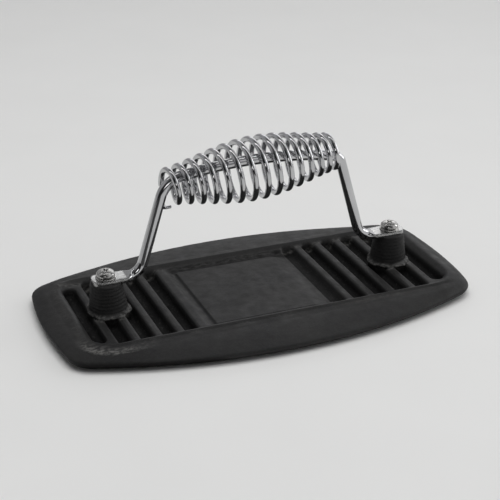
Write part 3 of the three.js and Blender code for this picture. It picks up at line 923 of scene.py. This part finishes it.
class Shader:
    """A material's node tree, with short ways to add the nodes that this file uses. Its noises and
    ranges are tuned: sizes in millimetres, and levels from 0 to 1."""

    def __init__(self, name):
        self.material = bpy.data.materials.new(name)
        self.material.use_nodes = True
        self.tree = self.material.node_tree
        self.tree.nodes.clear()
        output = self.add("ShaderNodeOutputMaterial")
        self.surface = self.add("ShaderNodeBsdfPrincipled")
        self.link(self.surface.outputs["BSDF"], output.inputs["Surface"])
        self.position = self.add("ShaderNodeTexCoord").outputs["Object"]

    def add(self, kind, **settings):
        return add_node(self.tree, kind, **settings)

    def link(self, source, target):
        self.tree.links.new(source, target)

    def put(self, value, socket):
        """Gives a socket a number, or another socket's value."""
        if isinstance(value, (int, float)):
            socket.default_value = value
        else:
            self.link(value, socket)

    def stored(self, name):
        """A number that the mesh holds for each of its points."""
        return self.add("ShaderNodeAttribute", attribute_name=name).outputs["Fac"]

    def noise(self, size_mm, detail, stretch=None):
        """Noise with features of about this size."""
        node = self.add("ShaderNodeTexNoise")
        node.inputs["Scale"].default_value = 1000 / size_mm
        node.inputs["Detail"].default_value = detail
        source = self.position
        if stretch:
            mapping = self.add("ShaderNodeMapping")
            mapping.inputs["Scale"].default_value = stretch
            self.link(source, mapping.inputs["Vector"])
            source = mapping.outputs["Vector"]
        self.link(source, node.inputs["Vector"])
        return node.outputs["Fac"]

    def range(self, source, *limits):
        """Maps a value from low and high to another low and high."""
        node = self.add("ShaderNodeMapRange")
        self.link(source, node.inputs["Value"])
        set_range(node, *limits)
        return node.outputs["Result"]

    def math(self, operation, first, second):
        node = self.add("ShaderNodeMath", operation=operation)
        self.put(first, node.inputs[0])
        self.put(second, node.inputs[1])
        return node.outputs["Value"]

    def mix(self, share, first, second):
        """A colour between two, which are sockets or (r, g, b)."""
        node = self.add("ShaderNodeMix", data_type="RGBA")
        self.link(share, node.inputs["Factor"])
        for key, value in (("A", first), ("B", second)):
            socket = [s for s in node.inputs if s.name == key and s.type == "RGBA"][0]
            if isinstance(value, tuple):
                socket.default_value = (*value, 1)
            else:
                self.link(value, socket)
        return [s for s in node.outputs if s.type == "RGBA"][0]

    def bump(self, height, depth_mm, strength, under=None):
        """A surface direction roughened by a height, on top of another roughness if given."""
        node = self.add("ShaderNodeBump")
        node.inputs["Strength"].default_value = strength
        node.inputs["Distance"].default_value = depth_mm * MM
        self.link(height, node.inputs["Height"])
        if under is not None:
            self.link(under, node.inputs["Normal"])
        return node.outputs["Normal"]

    def set(self, key, value):
        self.put(value, self.surface.inputs[key])


def cast_iron():
    """Seasoned iron, nearly black, paler on edges and worn places, with painted shade in creases and
    down in the grooves, where it has less sheen too.
    """
    dark, pale, grainy = (0.012, 0.012, 0.0125), (0.0175, 0.0172, 0.0168), (0.026, 0.0255, 0.025)
    edge_color, crease_shade_color = (0.055, 0.054, 0.052), (0.005, 0.005, 0.0048)
    groove_shade_color, sand_color = (0.004, 0.004, 0.004), (0.03, 0.03, 0.029)
    worn_color = (0.15, 0.147, 0.14)
    shader = Shader("seasoned_cast_iron")
    blotch = shader.noise(28, 3)
    grain = shader.noise(0.9, 4)
    pits = shader.noise(2.6, 5)
    color = shader.mix(shader.range(blotch, 0.35, 0.65, 0, 1), dark, pale)
    color = shader.mix(shader.range(grain, 0.4, 0.75, 0, 0.6), color, grainy)
    pointed = shader.add("ShaderNodeNewGeometry").outputs["Pointiness"]
    edge = shader.range(pointed, 0.52, 0.6, 0, 1)
    edge = shader.math("MULTIPLY", edge, shader.range(pits, 0.4, 0.6, 0.15, 1))
    color = shader.mix(shader.math("MULTIPLY", edge, 0.5), color, edge_color)
    # Painted shade: darker in creases and hollows, where the pointiness is low.
    hollow = shader.range(pointed, 0.42, 0.49, 1, 0)
    color = shader.mix(shader.math("MULTIPLY", hollow, 0.6), color, crease_shade_color)
    # Painted shade down in the grooves: deeper points are darker and have less sheen.
    sunk = shader.stored("sunk")
    color = shader.mix(shader.math("MULTIPLY", sunk, 0.75), color, groove_shade_color)
    scuffs = shader.range(shader.noise(1.2, 6, (0.6, 1, 1)), 0.42, 0.6, 0.1, 1)
    worn = shader.math("MULTIPLY", shader.stored("wear"), scuffs)
    color = shader.mix(worn, color, worn_color)
    sand = shader.range(shader.noise(1.2, 3), 0.58, 0.7, 0, 0.8)
    color = shader.mix(shader.math("MULTIPLY", sunk, sand), color, sand_color)
    shader.set("Base Color", color)
    rough = shader.range(shader.noise(5, 4), 0.3, 0.7, 0.46, 0.6)
    rough = shader.math("SUBTRACT", rough, shader.math("MULTIPLY", edge, 0.08))
    shader.set("Roughness", rough)
    shader.set("IOR", 1.38)
    shader.set("Specular IOR Level", shader.range(sunk, 0, 1, 0.5, 0.1))
    normal = shader.bump(pits, 0.10, 0.6)
    normal = shader.bump(grain, 0.06, 0.8, normal)
    shader.set("Normal", normal)
    return shader.material


def chrome():
    """Bright plating on the wire, satin where the rod's ends were hammered flat."""
    dull, bright = (0.70, 0.705, 0.72), (0.80, 0.80, 0.81)
    satin_pale, satin_dark = (0.50, 0.50, 0.495), (0.38, 0.38, 0.375)
    shader = Shader("chrome_plate")
    flattened = shader.stored("flattened")
    color = shader.mix(shader.range(shader.noise(14, 3), 0.3, 0.7, 0, 1), dull, bright)
    speckle = shader.range(shader.noise(1.4, 4), 0.35, 0.65, 0, 1)
    color = shader.mix(flattened, color, shader.mix(speckle, satin_pale, satin_dark))
    shader.set("Base Color", color)
    shader.set("Metallic", 1.0)
    streaks = shader.noise(0.35, 3, (1, 6, 6))
    rough = shader.range(shader.noise(7, 4), 0.35, 0.7, 0.05, 0.12)
    rough = shader.math("ADD", rough, shader.range(streaks, 0.6, 0.8, 0, 0.08))
    satin = shader.range(shader.noise(1.6, 4), 0.3, 0.7, 0.16, 0.26)
    satin = shader.math("MULTIPLY", satin, flattened)
    shader.set("Roughness", shader.math("MAXIMUM", rough, satin))
    shader.set("Normal", shader.bump(shader.noise(2.2, 2), 0.008, 0.4))
    return shader.material


def zinc_plate():
    """Dull, mottled plating on the screws and washers."""
    shader = Shader("zinc_plate")
    tone = shader.range(shader.noise(1.4, 4), 0.35, 0.65, 0, 1)
    shader.set("Base Color", shader.mix(tone, (0.42, 0.42, 0.41), (0.70, 0.69, 0.67)))
    shader.set("Metallic", 1.0)
    shader.set("Roughness", shader.range(shader.noise(1.0, 4), 0.3, 0.7, 0.16, 0.34))
    shader.set("Normal", shader.bump(shader.noise(0.9, 3), 0.05, 0.4))
    return shader.material


# ---- stage ----

# Paper floor, and a painted dark reflection in place of a black card, which only the chrome mirrors:
# its direction from the press, the cosines where its edge starts and ends, and how much of it shows
# outside and inside.
FLOOR_REACH = 3.0
PAPER_COLORS = ((0.80, 0.80, 0.79), (0.83, 0.83, 0.82))
REFLECTION_SHADE_COLOR = (0.02, 0.02, 0.02)
REFLECTION_SHADE_DIRECTION = (-0.79, -0.62, 0.0)
REFLECTION_SHADE_EDGE = (0.935, 0.965)
REFLECTION_SHADE_SHARES = (0.3, 0.97)

# Area lights as (name, place in metres, size in metres, power in watts). They aim at one point,
# except for the strip, which hangs level and is turned about the vertical.
LIGHTS = (
    ("key_softbox", (0.62, 1.2, 0.62), (0.9, 0.35), 1.1),
    ("rim_softbox", (1.2, -0.1, 0.45), (0.3, 0.8), 2.0),
    ("overhead_strip", (0.0, 0.15, 1.05), (1.75, 0.13), 1.25),
    ("front_softbox", (-0.69, -1.33, 0.60), (0.55, 0.3), 0.8),
    ("overhead_fill", (0.0, -0.15, 1.4), (1.3, 1.3), 13),
)
LIGHT_AIM = (0, 0, 0.03)
STRIP_TURN = 154

# The room's brightness, from straight down at 0 to straight up at 1.
SKY_LEVELS = (
    (0.0, 0.7), (0.5, 0.4), (0.66, 0.32), (0.78, 0.4), (0.87, 0.25), (0.93, 0.07), (1.0, 0.07)
)
SKY_BLUE = 1.02

# Changes of brightness towards a direction: the direction, the cosines where the change starts
# and ends, and the factor before and after it.
SKY_SIDES = (
    ((-0.55, -0.83, 0.0), 0.4, 0.7, 1.0, 0.05),
    ((0.92, -0.39, 0.0), -0.9, 0.9, 0.75, 1.4),
    ((0.83, 0.56, 0.0), 0.75, 0.97, 1.0, 1.8),
)

# Camera, with angles in degrees, lengths in millimetres of the scene, and the lens and sensor in
# millimetres of the camera.
CAMERA_ANGLES = (-23.05, 25.70, 0.67)
CAMERA_TARGET = (-1.8, 0, 28.2)
CAMERA_DISTANCE = 691.1
LENS = 95.7
SENSOR_WIDTH = 36


def floor():
    """Pale paper. Where the chrome mirrors it, a painted reflection makes it greyer, and near black
    towards the camera in place of a black card.
    """
    mesh = bpy.data.meshes.new("floor")
    signs = ((-1, -1), (1, -1), (1, 1), (-1, 1))
    corners = [(across * FLOOR_REACH, along * FLOOR_REACH, 0) for across, along in signs]
    mesh.from_pydata(corners, [], [(0, 1, 2, 3)])
    piece = bpy.data.objects.new("floor", mesh)
    bpy.context.scene.collection.objects.link(piece)
    shader = Shader("floor_paper")
    paper = shader.mix(shader.noise(60, 2), *PAPER_COLORS)
    direction = shader.add("ShaderNodeVectorMath", operation="NORMALIZE")
    shader.link(shader.position, direction.inputs[0])
    towards_camera = shader.add("ShaderNodeVectorMath", operation="DOT_PRODUCT")
    towards_camera.inputs[1].default_value = REFLECTION_SHADE_DIRECTION
    shader.link(direction.outputs["Vector"], towards_camera.inputs[0])
    # Painted reflection: the paper is greyer, and near black towards the camera, only where the
    # chrome mirrors it.
    painted_reflection = shader.range(towards_camera.outputs["Value"], *REFLECTION_SHADE_EDGE, *REFLECTION_SHADE_SHARES)
    mirrored = shader.add("ShaderNodeLightPath").outputs["Is Glossy Ray"]
    painted_reflection = shader.math("MULTIPLY", painted_reflection, mirrored)
    shader.set("Base Color", shader.mix(painted_reflection, paper, REFLECTION_SHADE_COLOR))
    shader.set("Roughness", 0.9)
    mesh.materials.append(shader.material)


def lights():
    """Adds the area lights. The fill isn't mirrored in the chrome."""
    made = {}
    for name, place_m, size, power in LIGHTS:
        data = bpy.data.lights.new(name, "AREA")
        data.shape = "RECTANGLE"
        data.size, data.size_y = size
        data.energy = power
        light = bpy.data.objects.new(name, data)
        light.location = place_m
        light.rotation_mode = "QUATERNION"
        direction = Vector(LIGHT_AIM) - Vector(place_m)
        light.rotation_quaternion = direction.to_track_quat("-Z", "Y")
        bpy.context.scene.collection.objects.link(light)
        made[name] = light
    strip_turn = Quaternion((0, 0, 1), math.radians(STRIP_TURN))
    made["overhead_strip"].rotation_quaternion = strip_turn
    made["overhead_fill"].visible_glossy = False


def studio_world():
    """A pale room, brightest low down behind the press, with a dark side towards the camera."""
    world = bpy.data.worlds.new("studio")
    world.use_nodes = True
    tree = world.node_tree
    direction = add_node(tree, "ShaderNodeTexCoord").outputs["Generated"]
    split = add_node(tree, "ShaderNodeSeparateXYZ")
    tree.links.new(direction, split.inputs["Vector"])
    half_height = add_node(tree, "ShaderNodeMath", operation="MULTIPLY_ADD")
    half_height.inputs[1].default_value = 0.5
    half_height.inputs[2].default_value = 0.5
    tree.links.new(split.outputs["Z"], half_height.inputs[0])
    heights = add_node(tree, "ShaderNodeValToRGB")
    tree.links.new(half_height.outputs["Value"], heights.inputs["Fac"])
    ramp = heights.color_ramp
    while len(ramp.elements) < len(SKY_LEVELS):
        ramp.elements.new(0.5)
    for element, (position, level) in zip(ramp.elements, SKY_LEVELS):
        element.position = position
        element.color = (level, level, level * SKY_BLUE, 1)
    sky = heights.outputs["Color"]
    for side, *limits in SKY_SIDES:
        towards = add_node(tree, "ShaderNodeVectorMath", operation="DOT_PRODUCT")
        towards.inputs[1].default_value = side
        tree.links.new(direction, towards.inputs[0])
        factor = add_node(tree, "ShaderNodeMapRange", interpolation_type="SMOOTHSTEP")
        set_range(factor, *limits)
        tree.links.new(towards.outputs["Value"], factor.inputs["Value"])
        scaled = add_node(tree, "ShaderNodeVectorMath", operation="SCALE")
        tree.links.new(sky, scaled.inputs[0])
        tree.links.new(factor.outputs["Result"], scaled.inputs["Scale"])
        sky = scaled.outputs["Vector"]
    tree.links.new(sky, tree.nodes["Background"].inputs["Color"])
    bpy.context.scene.world = world


def camera():
    """A long lens from the front left, a little above, turned slightly in its own plane."""
    azimuth, elevation, roll = (math.radians(angle) for angle in CAMERA_ANGLES)
    target = Vector(CAMERA_TARGET) * MM
    distance = CAMERA_DISTANCE * MM
    back = Vector(
        (
            math.sin(azimuth) * math.cos(elevation),
            -math.cos(azimuth) * math.cos(elevation),
            math.sin(elevation),
        )
    )
    right = Vector((math.cos(azimuth), math.sin(azimuth), 0))
    up = back.cross(right)
    rolled_right = right * math.cos(roll) + up * math.sin(roll)
    rolled_up = up * math.cos(roll) - right * math.sin(roll)
    data = bpy.data.cameras.new("camera")
    data.lens = LENS
    data.sensor_width = SENSOR_WIDTH
    eye = bpy.data.objects.new("camera", data)
    turned = Matrix((rolled_right, rolled_up, back)).transposed().to_4x4()
    eye.matrix_world = Matrix.Translation(target + back * distance) @ turned
    bpy.context.scene.collection.objects.link(eye)
    bpy.context.scene.camera = eye


def build():
    """Makes the pieces, gives them their materials, and sets the stage."""
    iron, bright, zinc = cast_iron(), chrome(), zinc_plate()
    press_plate().data.materials.append(iron)
    handle_rod().data.materials.append(bright)
    grip_spring().data.materials.append(bright)
    for side, x in zip(("left", "right"), SCREW_X):
        washer("washer_" + side, x).data.materials.append(zinc)
        screw("screw_" + side, x).data.materials.append(zinc)
    floor()
    lights()
    studio_world()
    camera()
    bpy.context.scene.view_settings.view_transform = "Standard"


build()
